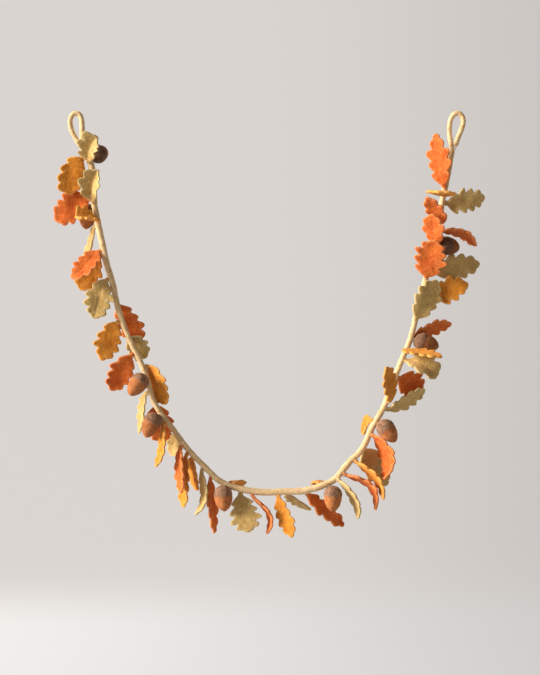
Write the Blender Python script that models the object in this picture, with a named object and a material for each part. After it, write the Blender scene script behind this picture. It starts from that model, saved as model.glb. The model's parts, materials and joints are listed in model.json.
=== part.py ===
"""A felt acorn garland hanging between its two end loops.

Frame: metres, +Z up. X runs from the left loop to the right loop, and the viewer stands at -Y.
The origin is the inside top of the left loop, where that loop rests on its hook or finger.
"""

import math

import bpy
import bmesh
from mathutils import Vector

MM = 0.001

# driving dimensions
CORD_DIAMETER = 8.5 * MM
CORD_STEP = 16.0 * MM
LOOP_CORD_DIAMETER = 6.4 * MM
SEAT_GAP = 0.35 * MM

LEAF_THICKNESS = 4.2 * MM
LEAF_EDGE_THICKNESS = 3.6 * MM
LEAF_STEM_WIDTH = 7.0 * MM
LEAF_TIP_WIDTH = 8.5 * MM
LEAF_LEAD = 9.0 * MM
LEAF_STEM_SHARE = 0.07
LEAF_LOBES = 3
LEAF_LOBES_END = 0.91
LONG_LEAF_REACH = 52.0 * MM  # a leaf that reaches further has one lobe more on each side
LEAF_NOTCH = 0.40
LEAF_WIDEST = 0.98
LEAF_FULLNESS = 0.6
LEAF_SWEEP = 0.24

ACORN_CAP_RADIUS = 12.1 * MM
ACORN_NUT_RADIUS = 11.6 * MM
ACORN_TIP_REACH = 22.0 * MM
ACORN_SIDES = 14

TOWARDS_VIEWER = Vector((0.0, -1.0, 0.0))

COLOURS = {
    "cord": (0.56, 0.37, 0.155),
    "olive": (0.38, 0.26, 0.085),
    "mustard": (0.60, 0.21, 0.022),
    "rust": (0.56, 0.105, 0.018),
    "acorn": (0.30, 0.092, 0.030),
}

# the cord's centre line from the left neck to the right neck, in millimetres: right, up
CORD_ROUTE = [
    (8.5, -43.0), (12, -49), (17, -57), (21, -70), (22.5, -91), (24, -117), (29, -142), (40, -193),
    (48, -219), (55, -252), (69, -291), (82, -317), (93, -343), (100, -369), (111, -389),
    (126, -408), (145, -434), (164, -454), (183, -473), (198, -482), (220, -488), (246, -491),
    (273, -490), (299, -489), (318, -483), (334, -477), (344, -467), (355, -453), (374, -434),
    (382, -415), (393, -395), (403, -376), (420, -330), (436, -291), (445, -254), (459, -200),
    (474, -130), (479, -104), (484, -80), (490, -45),
]

# the end loops' centre lines, in millimetres: right, towards the viewer, up
LEFT_LOOP = [
    (8.1, 0.0, -42.4), (3.4, -0.3, -36.0), (-2.0, -0.6, -27.0), (-5.8, -0.4, -18.5), (-7.6, 0.0, -10.0),
    (-6.6, 0.4, -2.6), (-3.4, 0.6, 1.8), (0.4, 0.8, 3.2), (4.2, 1.0, 1.4), (7.0, 1.4, -3.4),
    (8.2, 2.0, -11.0), (8.3, 3.2, -20.0), (8.4, 4.6, -28.0), (9.0, 6.4, -35.0),
]
RIGHT_LOOP = [
    (490.1, 0.0, -44.0), (488.8, -0.2, -35.0), (487.2, -0.4, -25.0), (487.0, -0.4, -15.0),
    (488.4, 0.0, -6.0), (492.0, 0.4, 0.6), (497.0, 0.6, 3.2), (501.8, 0.8, 1.2), (504.6, 1.0, -4.6),
    (504.2, 1.8, -12.0), (501.6, 2.8, -20.0), (498.2, 3.8, -28.0), (495.8, 4.6, -35.0),
    (494.8, 5.2, -40.5),
]

# Each leaf: its felt, where it is sewn on (millimetres along the cord, then degrees around it: 0 on the
# viewer's side, 90 outside the U, 180 behind), how far its tip reaches from there in millimetres (right,
# towards the viewer, up), how far its face is rolled away from the viewer in degrees, its bow along the
# face normal and sideways, its width, and how steeply its halves fold up from the midrib in degrees.
LEAF_COLUMNS = ("felt", "along", "around", "right", "near", "up", "roll", "arch", "bend", "width", "fold")
LEAVES = [
    ("mustard", 11, 75, -21, 7, -52, -6, 0, 6, 42, 8),
    ("olive", 20, 10, 13, 22, 30, -22, 0, -5, 44, 30),
    ("olive", 73, 10, 8, 22, 40, -22, 0, -5, 40, 34),
    ("rust", 68, 85, -52, -1, -28, 0, 0, 0, 46, 8),
    ("mustard", 97, -15, -27, 20, 3, 60, 0, 0, 44, 26),
    ("olive", 103, 125, -30, -33, -53, 66, -6, 0, 32, 4),
    ("rust", 137, 70, -41, 16, -37, 30, 0, -4, 37, 14),
    ("mustard", 143, 110, -33, -8, -46, -5, 0, 0, 38, 8),
    ("olive", 175, 72, -22, 10, -53, 0, 0, 0, 42, 8),
    ("rust", 210, 180, 29, -20, -52, 0, 0, 0, 37, 6),
    ("mustard", 232, 75, -27, 6, -52, -8, 0, 0, 37, 6),
    ("olive", 256, 180, 23, -11, -26, 0, 0, 0, 36, 6),
    ("rust", 278, 85, -33, 1, -49, -12, 0, 0, 38, 10),
    ("mustard", 299, -105, 31, -2, -48, 40, 0, 0, 40, 12),
    ("olive", 332, 108, -16, -12, -55, 60, 0, 0, 24, 6),
    ("rust", 352, 180, 6, -42, -51, 0, 0, 0, 42, 6),
    ("mustard", 377, 60, -15, 10, -58, 70, -5, 0, 34, 4),
    ("olive", 399, 180, -10, -30, -29, 30, 0, 0, 26, 10),
    ("rust", 414, 60, -3, 14, -63, 65, 0, 0, 34, 8),
    ("mustard", 426, 110, -9, -6, -74, 58, 0, 0, 36, 8),
    ("olive", 454, 85, -13, 9, -61, 70, -11, 0, 30, 4),
    ("rust", 469, 125, 1, -24, -79, -62, 0, 0, 30, 10),
    ("olive", 511, 80, 10, 4, -56, 8, 0, 0, 46, 6),
    ("rust", 526, 70, 18, -1, -56, 75, -14, 0, 30, 4),
    ("mustard", 559, 80, 19, 6, -59, 30, 0, 0, 28, 12),
    ("olive", 572, 140, 27, -42, -28, 65, 0, 0, 34, 8),
    ("rust", 596, 130, 50, -23, -50, -25, 0, 0, 26, 10),
    ("olive", 639, 45, 28, -2, -54, 70, -8, 0, 34, 4),
    ("rust", 649, 80, 44, 2, -50, 72, -18, 0, 34, 6),
    ("mustard", 672, 80, 39, 9, -53, 72, -10, 0, 34, 6),
    ("olive", 690, 150, 35, -34, -52, 0, 0, 0, 38, 8),
    ("rust", 711, 50, 18, 16, -58, 56, -16, 0, 38, 8),
    ("olive", 750, 110, 56, -10, 23, 50, 0, 0, 34, 8),
    ("mustard", 761, 50, -3, 32, 44, 52, 0, 0, 36, 10),
    ("rust", 793, 120, 37, -26, -20, 0, 0, 0, 44, 8),
    ("olive", 818, 70, 43, 14, -25, -36, 9, 0, 40, 20),
    ("mustard", 829, -30, 43, 44, -7, -73, 0, 0, 34, 6),
    ("rust", 850, 150, 55, -16, 16, 50, -4, 0, 34, 6),
    ("olive", 873, 0, 28, 4, 51, 12, 0, 0, 39, 6),
    ("mustard", 904, 115, 62, -2, 16, 0, 0, 0, 36, 6),
    ("olive", 941, 120, 70, -18, 7, 0, 0, 0, 36, 8),
    ("rust", 929, -5, 10, 23, 48, -8, 0, 0, 49, 6),
    ("rust", 973, 10, -4, 22, 39, -30, 0, 0, 34, 6),
    ("rust", 992, 90, 52, -4, -21, 72, -10, 0, 36, 6),
    ("rust", 1003, 45, -18, 32, 30, -40, 0, 0, 30, 6),
    ("olive", 1029, 100, 57, -6, 7, 20, 0, 0, 38, 8),
    ("mustard", 1038, 0, -12, 48, 1, 90, 0, 0, 42, 4),
    ("rust", 1049, -20, -14, 16, 69, -32, 0, 0, 35, 8),
]

# Each acorn: where its cap sits on the cord, as for the leaves, and the way that its point faces.
ACORN_COLUMNS = ("along", "around", "right", "near", "up")
ACORNS = [
    (14, -130, 0.3, -0.9, 0.2),
    (84, 140, -0.2, -0.2, -1.0),
    (315, 35, -0.6, 0.3, -0.8),
    (366, 57, -0.4, 0.1, -0.9),
    (492, 50, 0.1, 0.0, -1.0),
    (624.5, 85, 0.0, 0.0, -1.0),
    (728, 60, 0.62, 0.0, -0.8),
    (847, 90, 1.0, 0.0, -0.3),
    (975, 95, 0.8, -0.6, -0.1),
]


def clear_scene():
    for item in list(bpy.data.objects):
        bpy.data.objects.remove(item, do_unlink=True)


def make_felt(name, colour):
    material = bpy.data.materials.new(name)
    material.use_nodes = True
    shader = material.node_tree.nodes["Principled BSDF"]
    shader.inputs["Base Color"].default_value = (*colour, 1.0)
    shader.inputs["Roughness"].default_value = 0.95
    shader.inputs["Metallic"].default_value = 0.0
    material.diffuse_color = (*colour, 1.0)
    return material


def smooth_route(points, step):
    """Evenly spaced points on a Catmull-Rom curve through the route's points."""
    ends = [points[0] * 2 - points[1]] + points + [points[-1] * 2 - points[-2]]
    fine = []
    for before, start, finish, after in zip(ends, ends[1:], ends[2:], ends[3:]):
        for part in range(24):
            t = part / 24
            fine.append(
                0.5 * (2 * start + (finish - before) * t
                       + (2 * before - 5 * start + 4 * finish - after) * t ** 2
                       + (3 * start - 3 * finish + after - before) * t ** 3)
            )
    fine.append(points[-1])
    lengths = [0.0]
    for a, b in zip(fine, fine[1:]):
        lengths.append(lengths[-1] + (b - a).length)
    count = round(lengths[-1] / step)
    return [point_at(fine, lengths, lengths[-1] * i / count) for i in range(count + 1)]


def point_at(points, lengths, distance):
    for i in range(1, len(points)):
        if lengths[i] >= distance:
            share = (distance - lengths[i - 1]) / (lengths[i] - lengths[i - 1])
            return points[i - 1].lerp(points[i], share)
    return points[-1].copy()


class Cord:
    """The cord's centre line, and the seats around it."""

    def __init__(self):
        route = [Vector((right, 0.0, up)) * MM for right, up in CORD_ROUTE]
        self.points = smooth_route(route, CORD_STEP)
        self.lengths = [0.0]
        for a, b in zip(self.points, self.points[1:]):
            self.lengths.append(self.lengths[-1] + (b - a).length)

    def seat(self, along, around):
        """The centre line's point and the unit direction out of the cord."""
        reach = 4.0 * MM
        centre = point_at(self.points, self.lengths, along)
        ahead = point_at(self.points, self.lengths, along + reach)
        behind = point_at(self.points, self.lengths, max(along - reach, 0.0))
        outside = (ahead - behind).normalized().cross(TOWARDS_VIEWER)
        angle = math.radians(around)
        return centre, TOWARDS_VIEWER * math.cos(angle) + outside * math.sin(angle)


def add_tube(name, points, diameter, material):
    curve = bpy.data.curves.new(name, "CURVE")
    curve.dimensions = "3D"
    curve.bevel_depth = diameter / 2
    curve.bevel_resolution = 2
    curve.use_fill_caps = True
    spline = curve.splines.new("POLY")
    spline.points.add(len(points) - 1)
    for spot, point in zip(spline.points, points):
        spot.co = (*point, 1.0)
    tube = bpy.data.objects.new(name, curve)
    bpy.context.collection.objects.link(tube)
    curve.materials.append(material)
    return tube


def add_mesh(name, mesh_data, material):
    mesh = bpy.data.meshes.new(name)
    bmesh.ops.recalc_face_normals(mesh_data, faces=mesh_data.faces)
    mesh_data.to_mesh(mesh)
    mesh_data.free()
    mesh.materials.append(material)
    mesh.shade_smooth()
    mesh.set_sharp_from_angle(angle=math.radians(50))
    item = bpy.data.objects.new(name, mesh)
    bpy.context.collection.objects.link(item)
    return item


def leaf_stations(lobes):
    """Shares of the leaf's length: the stem, four places on each lobe, and the end lobe."""
    stations = [0.0, 0.6 * LEAF_STEM_SHARE]
    lobe_share = (LEAF_LOBES_END - LEAF_STEM_SHARE) / lobes
    for lobe in range(lobes):
        start = LEAF_STEM_SHARE + lobe * lobe_share
        stations += [start + part * lobe_share for part in (0.0, 0.3, 0.62, 0.88)]
    return stations + [LEAF_LOBES_END, (1.0 + LEAF_LOBES_END) / 2, 1.0]


def leaf_half_width(share, width, lobes):
    """Half the outline's width: an oval whose lobes swell towards the tip, then step back in."""
    oval = max(math.sin(math.pi * share ** LEAF_WIDEST), 0.0) ** LEAF_FULLNESS
    lobe = (share - LEAF_STEM_SHARE) * lobes / (LEAF_LOBES_END - LEAF_STEM_SHARE) + 1e-6
    notch = LEAF_NOTCH * (1.0 - lobe % 1.0) ** 2.2
    least = LEAF_TIP_WIDTH / 2
    if share < LEAF_STEM_SHARE - 1e-6:
        least = LEAF_STEM_WIDTH / 2
        oval = 0.0
    return max(width / 2 * oval * (1.0 - notch), least)


def bezier(points, t):
    a, b, c, d = points
    s = 1.0 - t
    return a * s ** 3 + b * 3 * s * s * t + c * 3 * s * t * t + d * t ** 3


def leaf_midrib(cord, row, stations):
    """Points, directions and sideways vectors down the midrib."""
    centre, outwards = cord.seat(row["along"] * MM, row["around"])
    root = centre + outwards * (CORD_DIAMETER / 2 + SEAT_GAP)
    tip = centre + Vector((row["right"], -row["near"], row["up"])) * MM
    chord = (tip - root).normalized()
    facing = (TOWARDS_VIEWER - chord * TOWARDS_VIEWER.dot(chord)).normalized()
    across = chord.cross(facing)
    roll = math.radians(row["roll"])
    normal = facing * math.cos(roll) + across * math.sin(roll)
    sideways = chord.cross(normal)
    bow = (normal * row["arch"] + sideways * row["bend"]) * MM * 4 / 3
    controls = (
        root,
        root + outwards * LEAF_LEAD,
        root.lerp(tip, 0.6) + bow * 1.6,
        tip,
    )
    fine = [bezier(controls, i / 60) for i in range(61)]
    lengths = [0.0]
    for a, b in zip(fine, fine[1:]):
        lengths.append(lengths[-1] + (b - a).length)
    points = [point_at(fine, lengths, share * lengths[-1]) for share in stations]
    directions = []
    for i in range(len(points)):
        before = points[max(i - 1, 0)]
        after = points[min(i + 1, len(points) - 1)]
        directions.append((after - before).normalized())
    directions[0] = (fine[1] - fine[0]).normalized()
    # the frame is carried from the tip back to the root without twisting
    sides = [None] * len(points)
    turned = chord.rotation_difference(directions[-1]) @ sideways
    sides[-1] = turned
    for i in range(len(points) - 2, -1, -1):
        turned = directions[i + 1].rotation_difference(directions[i]) @ turned
        sides[i] = turned
    return points, directions, sides


def add_leaf(cord, name, row, material):
    reach = Vector((row["right"], row["near"], row["up"])).length * MM
    lobes = LEAF_LOBES + (1 if reach > LONG_LEAF_REACH else 0)
    stations = leaf_stations(lobes)
    points, directions, sides = leaf_midrib(cord, row, stations)
    fold = math.radians(row["fold"])
    mesh_data = bmesh.new()
    rings = []
    for share, point, direction, side in zip(stations, points, directions, sides):
        up = side.cross(direction)
        half = leaf_half_width(share, row["width"] * MM, lobes)
        spread = half * math.cos(fold)
        lift = half * math.sin(fold) * min(max((share - LEAF_STEM_SHARE) / 0.2, 0.0), 1.0)
        sweep = direction * LEAF_SWEEP * max(half - LEAF_TIP_WIDTH / 2, 0.0)
        ring = []
        for place, rise, thick in (
            (-spread, lift, LEAF_EDGE_THICKNESS),
            (0.0, 0.0, LEAF_THICKNESS),
            (spread, lift, LEAF_EDGE_THICKNESS),
        ):
            ring.append(point + side * place + up * (rise + thick / 2) + sweep * bool(place))
        for place, rise, thick in (
            (spread, lift, LEAF_EDGE_THICKNESS),
            (0.0, 0.0, LEAF_THICKNESS),
            (-spread, lift, LEAF_EDGE_THICKNESS),
        ):
            ring.append(point + side * place + up * (rise - thick / 2) + sweep * bool(place))
        rings.append([mesh_data.verts.new(spot) for spot in ring])
    for ring, following in zip(rings, rings[1:]):
        for i in range(6):
            j = (i + 1) % 6
            mesh_data.faces.new((ring[i], ring[j], following[j], following[i]))
    mesh_data.faces.new(rings[0])
    mesh_data.faces.new(rings[-1])
    return add_mesh(name, mesh_data, material)


def acorn_profile():
    """Radius and height pairs from the cap's top to the nut's point; the cap's lip is at height 0."""
    profile = []
    for degrees in (14, 32, 52, 72):
        angle = math.radians(degrees)
        profile.append((ACORN_CAP_RADIUS * math.sin(angle), ACORN_CAP_RADIUS * math.cos(angle)))
    profile.append((ACORN_CAP_RADIUS, 0.5 * MM))
    profile.append((ACORN_CAP_RADIUS - 0.4 * MM, -2.2 * MM))
    for share in (0.26, 0.45, 0.62, 0.78, 0.91):
        radius = ACORN_NUT_RADIUS * (1.0 - ((share - 0.08) / 0.92) ** 2.1) ** 0.62
        profile.append((radius, -share * ACORN_TIP_REACH))
    profile.append((1.8 * MM, -0.99 * ACORN_TIP_REACH))
    return profile


def add_acorn(cord, name, row, material):
    centre, outwards = cord.seat(row["along"] * MM, row["around"])
    middle = centre + outwards * (CORD_DIAMETER / 2 + SEAT_GAP + ACORN_CAP_RADIUS)
    point = Vector((row["right"], -row["near"], row["up"])).normalized()
    turn = Vector((0.0, 0.0, -1.0)).rotation_difference(point)
    mesh_data = bmesh.new()
    rings = []
    for radius, height in acorn_profile():
        ring = []
        for side in range(ACORN_SIDES):
            angle = 2 * math.pi * side / ACORN_SIDES
            spot = Vector((radius * math.cos(angle), radius * math.sin(angle), height))
            ring.append(mesh_data.verts.new(middle + turn @ spot))
        rings.append(ring)
    for ring, following in zip(rings, rings[1:]):
        for i in range(ACORN_SIDES):
            j = (i + 1) % ACORN_SIDES
            mesh_data.faces.new((ring[i], ring[j], following[j], following[i]))
    mesh_data.faces.new(rings[0])
    mesh_data.faces.new(rings[-1])
    return add_mesh(name, mesh_data, material)


def add_loop(name, route, material):
    points = [Vector((right, -near, up)) * MM for right, near, up in route]
    return add_tube(name, smooth_route(points, 5.0 * MM), LOOP_CORD_DIAMETER, material)


def main():
    clear_scene()
    felts = {name: make_felt(f"felt_{name}", colour) for name, colour in COLOURS.items()}
    cord = Cord()
    add_tube("cord", cord.points, CORD_DIAMETER, felts["cord"])
    add_loop("loop_left", LEFT_LOOP, felts["cord"])
    add_loop("loop_right", RIGHT_LOOP, felts["cord"])
    for number, values in enumerate(LEAVES, 1):
        row = dict(zip(LEAF_COLUMNS, values))
        add_leaf(cord, f"leaf_{number:02d}_{row['felt']}", row, felts[row["felt"]])
    for number, values in enumerate(ACORNS, 1):
        row = dict(zip(ACORN_COLUMNS, values))
        add_acorn(cord, f"acorn_{number}", row, felts["acorn"])


main()
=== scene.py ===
import json
import math
import random

import bpy
import bmesh
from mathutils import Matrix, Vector, noise
from mathutils.bvhtree import BVHTree
from mathutils.kdtree import KDTree

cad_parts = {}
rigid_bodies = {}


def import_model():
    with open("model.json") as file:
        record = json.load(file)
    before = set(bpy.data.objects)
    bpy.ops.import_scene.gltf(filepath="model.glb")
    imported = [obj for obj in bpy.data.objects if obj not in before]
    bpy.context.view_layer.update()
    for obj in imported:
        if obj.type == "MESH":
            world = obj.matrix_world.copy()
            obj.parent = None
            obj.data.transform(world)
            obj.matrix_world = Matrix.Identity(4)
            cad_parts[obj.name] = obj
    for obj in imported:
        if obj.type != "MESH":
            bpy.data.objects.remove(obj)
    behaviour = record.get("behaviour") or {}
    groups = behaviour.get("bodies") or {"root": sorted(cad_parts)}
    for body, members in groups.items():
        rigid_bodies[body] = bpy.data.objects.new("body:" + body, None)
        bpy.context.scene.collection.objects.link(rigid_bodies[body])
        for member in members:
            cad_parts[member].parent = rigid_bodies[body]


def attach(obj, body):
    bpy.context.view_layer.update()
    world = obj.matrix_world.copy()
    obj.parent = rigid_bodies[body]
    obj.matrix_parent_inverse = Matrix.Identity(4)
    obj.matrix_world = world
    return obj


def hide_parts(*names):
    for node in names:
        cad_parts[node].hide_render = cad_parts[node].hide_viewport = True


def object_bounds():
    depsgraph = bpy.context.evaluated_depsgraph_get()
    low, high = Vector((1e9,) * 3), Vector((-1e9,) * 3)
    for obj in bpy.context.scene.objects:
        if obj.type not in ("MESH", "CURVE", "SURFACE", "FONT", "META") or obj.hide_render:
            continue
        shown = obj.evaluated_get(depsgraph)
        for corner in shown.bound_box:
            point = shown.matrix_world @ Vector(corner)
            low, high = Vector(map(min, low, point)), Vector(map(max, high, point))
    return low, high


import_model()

mm = 0.001
towardsViewer = Vector((0.0, -1.0, 0.0))
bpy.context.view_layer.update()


def srgb(red, green, blue):
    linear = []
    for value in (red, green, blue):
        share = value / 255
        linear.append(share / 12.92 if share <= 0.04045 else ((share + 0.055) / 1.055) ** 2.4)
    return (*linear, 1.0)


# the hung cord's centre line from neck to neck, in metres: right, up
cord = {
    "diameter": 0.0085,
    "step": 0.016,
    "ring": 0.0011,
    "sides": 30,
    "lumpDepth": 0.00042,
    "lumpScale": 95.0,
    "grainDepth": 0.00016,
    "grainScale": 420.0,
    "endRound": 0.45,
    "leastRound": 0.02,
    "seed": 3.0,
    "thickness": (
        (0.0, 1.0), (0.12, 0.98), (0.22, 0.86), (0.4, 0.86),
        (0.5, 1.03), (0.62, 0.95), (0.8, 0.86), (1.0, 0.92),
    ),
    "route": [
        (0.0085, -0.043), (0.012, -0.049), (0.017, -0.057), (0.021, -0.070), (0.0225, -0.091),
        (0.024, -0.117), (0.029, -0.142), (0.040, -0.193), (0.048, -0.219), (0.055, -0.252),
        (0.069, -0.291), (0.082, -0.317), (0.093, -0.343), (0.100, -0.369), (0.111, -0.389),
        (0.126, -0.408), (0.145, -0.434), (0.164, -0.454), (0.183, -0.473), (0.198, -0.482),
        (0.220, -0.488), (0.246, -0.491), (0.273, -0.490), (0.299, -0.489), (0.318, -0.483),
        (0.334, -0.477), (0.344, -0.467), (0.355, -0.453), (0.374, -0.434), (0.382, -0.415),
        (0.393, -0.395), (0.403, -0.376), (0.420, -0.330), (0.436, -0.291), (0.445, -0.254),
        (0.459, -0.200), (0.474, -0.130), (0.479, -0.104), (0.484, -0.080), (0.490, -0.045),
    ],
}

# the folded ends, in metres: right, towards the viewer, up
loops = {
    "diameter": 0.0064,
    "step": 0.005,
    "ring": 0.0008,
    "lumpDepth": 0.00026,
    "firstSeed": 11,
    "routes": {
        "loop_left": [
            (0.0098, 0.0, -0.0452), (0.0078, 0.0, -0.0418), (0.0034, -0.0003, -0.036),
            (-0.002, -0.0006, -0.027), (-0.0058, -0.0004, -0.0185), (-0.0076, 0.0, -0.010),
            (-0.0066, 0.0004, -0.0026), (-0.0034, 0.0006, 0.0018), (0.0004, 0.0008, 0.0032),
            (0.0042, 0.001, 0.0014), (0.007, 0.0014, -0.0034), (0.0082, 0.002, -0.011),
            (0.0083, 0.0032, -0.020), (0.0084, 0.0046, -0.028), (0.009, 0.0064, -0.035),
        ],
        "loop_right": [
            (0.4896, 0.0, -0.0475), (0.4899, 0.0, -0.043), (0.4888, -0.0002, -0.035),
            (0.4872, -0.0004, -0.025), (0.487, -0.0004, -0.015), (0.4884, 0.0, -0.006),
            (0.492, 0.0004, 0.0006), (0.497, 0.0006, 0.0032), (0.5018, 0.0008, 0.0012),
            (0.5046, 0.001, -0.0046), (0.5042, 0.0018, -0.012), (0.5016, 0.0028, -0.020),
            (0.4982, 0.0038, -0.028), (0.4958, 0.0046, -0.035), (0.4948, 0.0052, -0.0405),
        ],
    },
}

# Each leaf: felt, millimetres along the cord, degrees around it (0 front, 90 outside the U, 180 back),
# reach of the tip in millimetres (right, near, up), roll, arch, sideways bend, width, fold.
leafRows = [
    ("mustard", 11, 75, -21, 7, -52, -6, 0, 6, 42, 8),
    ("olive", 20, 10, 13, 22, 30, -22, 0, -5, 44, 30),
    ("olive", 73, 10, 8, 22, 40, -22, 0, -5, 40, 34),
    ("rust", 68, 85, -52, -1, -28, 0, 0, 0, 46, 8),
    ("mustard", 97, -15, -27, 20, 3, 60, 0, 0, 44, 26),
    ("olive", 103, 125, -30, -33, -53, 66, -6, 0, 32, 4),
    ("rust", 137, 70, -41, 16, -37, 30, 0, -4, 37, 14),
    ("mustard", 143, 110, -33, -8, -46, -5, 0, 0, 38, 8),
    ("olive", 175, 72, -22, 10, -53, 0, 0, 0, 42, 8),
    ("rust", 210, 180, 29, -20, -52, 0, 0, 0, 37, 6),
    ("mustard", 232, 75, -27, 6, -52, -8, 0, 0, 37, 6),
    ("olive", 256, 180, 23, -11, -26, 0, 0, 0, 36, 6),
    ("rust", 278, 85, -33, 1, -49, -12, 0, 0, 38, 10),
    ("mustard", 299, -105, 31, -2, -48, 40, 0, 0, 40, 12),
    ("olive", 332, 108, -16, -12, -55, 60, 0, 0, 24, 6),
    ("rust", 352, 180, 6, -42, -51, 0, 0, 0, 42, 6),
    ("mustard", 377, 60, -15, 10, -58, 70, -5, 0, 34, 4),
    ("olive", 399, 180, -10, -30, -29, 30, 0, 0, 26, 10),
    ("rust", 414, 60, -3, 14, -63, 65, 0, 0, 34, 8),
    ("mustard", 426, 110, -9, -6, -74, 58, 0, 0, 36, 8),
    ("olive", 454, 85, -13, 9, -61, 70, -11, 0, 30, 4),
    ("rust", 469, 125, 1, -24, -79, -62, 0, 0, 30, 10),
    ("olive", 511, 80, 10, 4, -56, 8, 0, 0, 46, 6),
    ("rust", 526, 70, 18, -1, -56, 75, -14, 0, 30, 4),
    ("mustard", 559, 80, 19, 6, -59, 30, 0, 0, 28, 12),
    ("olive", 572, 140, 27, -42, -28, 65, 0, 0, 34, 8),
    ("rust", 596, 130, 50, -23, -50, -25, 0, 0, 26, 10),
    ("olive", 639, 45, 28, -2, -54, 70, -8, 0, 34, 4),
    ("rust", 649, 80, 44, 2, -50, 72, -18, 0, 34, 6),
    ("mustard", 672, 80, 39, 9, -53, 72, -10, 0, 34, 6),
    ("olive", 690, 150, 35, -34, -52, 0, 0, 0, 38, 8),
    ("rust", 711, 50, 18, 16, -58, 56, -16, 0, 38, 8),
    ("olive", 750, 110, 56, -10, 23, 50, 0, 0, 34, 8),
    ("mustard", 761, 50, -3, 32, 44, 52, 0, 0, 36, 10),
    ("rust", 793, 120, 37, -26, -20, 0, 0, 0, 44, 8),
    ("olive", 818, 70, 43, 14, -25, -36, 9, 0, 40, 20),
    ("mustard", 829, -30, 43, 44, -7, -73, 0, 0, 34, 6),
    ("rust", 850, 150, 55, -16, 16, 50, -4, 0, 34, 6),
    ("olive", 873, 0, 28, 4, 51, 12, 0, 0, 39, 6),
    ("mustard", 904, 115, 62, -2, 16, 0, 0, 0, 36, 6),
    ("olive", 941, 120, 70, -18, 7, 0, 0, 0, 36, 8),
    ("rust", 929, -5, 10, 23, 48, -8, 0, 0, 49, 6),
    ("rust", 973, 10, -4, 22, 39, -30, 0, 0, 34, 6),
    ("rust", 992, 90, 52, -4, -21, 72, -10, 0, 36, 6),
    ("rust", 1003, 45, -18, 32, 30, -40, 0, 0, 30, 6),
    ("olive", 1029, 100, 57, -6, 7, 20, 0, 0, 38, 8),
    ("mustard", 1038, 0, -12, 48, 1, 90, 0, 0, 42, 4),
    ("rust", 1049, -20, -14, 16, 69, -32, 0, 0, 35, 8),
]

# small leaves tucked in behind the cord, which have no solid of their own
tuckedRows = [
    ("mustard", 434, 140, 1, -32, -48, 60, 0, 0, 32, 8),
    ("mustard", 501, -120, 7, -42, -3, -145, 0, 0, 25, 8),
    ("mustard", 615, -140, 2, -45, -1, 40, 0, 0, 28, 8),
    ("mustard", 728, -100, -16, -36, -14, 60, 0, 0, 26, 8),
]

leaf = {
    "columns": ("felt", "along", "around", "right", "near", "up", "roll", "arch", "bend", "width", "fold"),
    "thickness": 0.0042,
    "edgeThickness": 0.0036,
    "stemWidth": 0.0070,
    "tipWidth": 0.0085,
    "lead": 0.009,
    "seatGap": 0.00035,
    "rootSink": 0.0022,
    "stemShare": 0.07,
    "lobes": 3,
    "longReach": 0.052,
    "lobesEnd": 0.91,
    "lobeLean": 1.3,
    "lobeRound": 0.62,
    "endLobe": (0.05, 0.6),
    "notch": (0.30, 0.50),
    "widest": (0.86, 1.12),
    "fullness": 0.6,
    "swell": (0.86, 1.08),
    "sweep": 0.24,
    "stations": 84,
    "across": 5,
    "edgeLevels": (0.62, 0.0, -0.62),
    "tipRound": 0.0021,
    "tipShare": 0.55,
    "leastFlat": 0.4,
    "leastThick": 0.08,
    "leastWide": 0.03,
    "foldStart": 0.2,
    "foldRound": 0.002,
    "bowPlace": 0.6,
    "bowReach": 1.6,
    "bezierSteps": 60,
    "voxel": 0.00078,
    "smoothRounds": 5,
    "warp": 0.0011,
    "warpScale": 52.0,
    "pucker": 0.00026,
    "puckerScale": 150.0,
    "puckerRest": 0.45,
    "grain": 0.0001,
    "grainScale": 620.0,
    "crease": 0.0006,
    "creaseWidth": 0.0011,
    # width and fall-off of the painted highlight along each leaf's edge
    "rimWidth": 0.0034,
    "rimFade": 0.8,
    "facingLean": 0.2,
    "boxShare": 0.62,
    "tuckedSeed": 60,
}

# Each acorn: millimetres along the cord, degrees around it, and the way that its point faces.
acornRows = [
    (14, -130, 0.3, -0.9, 0.2),
    (84, 140, -0.2, -0.2, -1.0),
    (315, 35, -0.6, 0.3, -0.8),
    (366, 57, -0.4, 0.1, -0.9),
    (492, 50, 0.1, 0.0, -1.0),
    (624.5, 85, 0.0, 0.0, -1.0),
    (728, 60, 0.62, 0.0, -0.8),
    (847, 90, 1.0, 0.0, -0.3),
    (975, 95, 0.8, -0.6, -0.1),
]

acorn = {
    "capRadius": 0.0121,
    "nutRadius": 0.0116,
    "tipReach": 0.0220,
    "sides": 72,
    "capLump": 0.00055,
    "nutLump": 0.00022,
    "lumpScale": 260.0,
    "capRings": 21,
    "nutRings": 29,
    "capAngles": (3, 81),
    "nutShares": (0.11, 0.87),
    "point": (0.9, 0.995),
    "shoulder": 0.08,
    "taper": 2.1,
    "fullness": 0.62,
    "nub": 1.6,
    "nubPlace": 0.98,
    "nubReach": 0.07,
    "slowScale": 70.0,
    "slowLump": 0.0004,
    # painted shade: a factor on each acorn's colour, lowest for the acorns that hang in the leaves' shade
    "tones": (0.5, 0.85, 0.92, 0.8, 1.0, 1.0, 1.05, 0.66, 0.5),
    # millimetres out from the cap's radius and up, and the cap's share in the colour
    "lip": ((0.0, 0.5, 1.0), (0.0, -0.3, 0.9), (-0.05, -1.1, 0.75), (-0.2, -1.7, 0.55), (-0.35, -2.2, 0.35)),
}

# glow is a lighter felt colour for flecks and fibres, and also the colour of the painted highlight near leaf
# edges
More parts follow.
